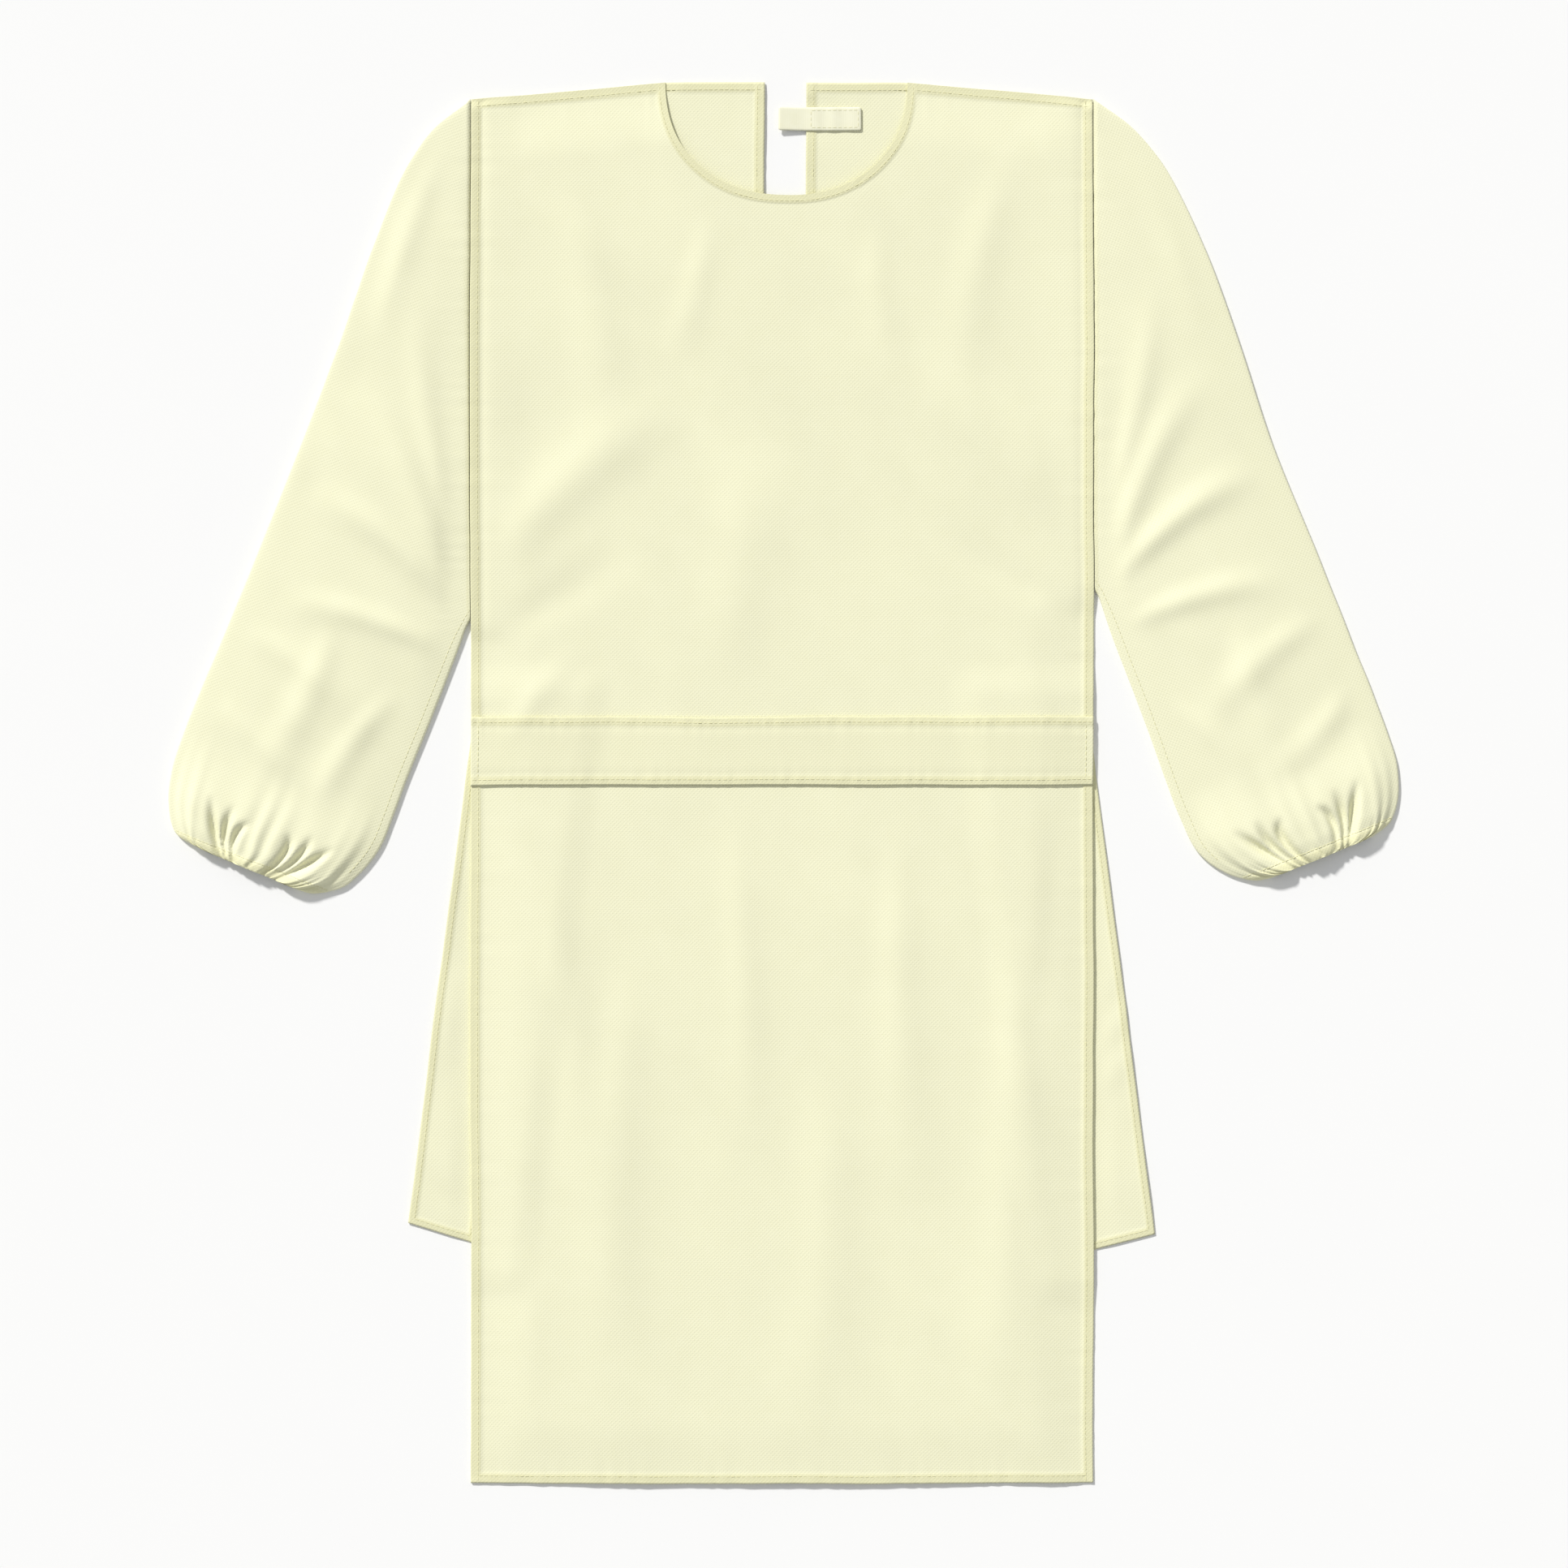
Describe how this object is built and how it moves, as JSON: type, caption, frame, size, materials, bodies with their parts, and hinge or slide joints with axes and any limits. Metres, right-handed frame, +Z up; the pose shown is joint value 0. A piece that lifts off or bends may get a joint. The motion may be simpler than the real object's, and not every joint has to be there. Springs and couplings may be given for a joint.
{
  "type": "procedure gown",
  "caption": "Pale yellow procedure gown laid out flat on its back, with scooped neck, open back, gathered elastic cuffs, belt band, waist ties and a neck tape tab.",
  "frame": {"origin": "on the surface the gown lies on, under the middle of the body's length and width", "axes": "+Z up, away from the surface and out of the front; +Y towards the neck; +X towards the picture's right, the wearer's left"},
  "size_m": [1.0095, 1.15, 0.0107],
  "materials": {
    "body_cloth": "matt point-bonded nonwoven, pale yellow",
    "sleeve_cloth": "matt point-bonded nonwoven, pale yellow",
    "belt_cloth": "matt point-bonded nonwoven, pale yellow, folded strip",
    "tab_tape": "smooth tape, paler yellow"
  },
  "bodies": {
    "root": {"front": "body_cloth", "back_left": "body_cloth", "back_right": "body_cloth", "sleeve_left": "sleeve_cloth", "sleeve_right": "sleeve_cloth", "belt": "belt_cloth", "tie_left": "belt_cloth", "tie_right": "belt_cloth", "neck_tab": "tab_tape"}
  },
  "joints": []
}
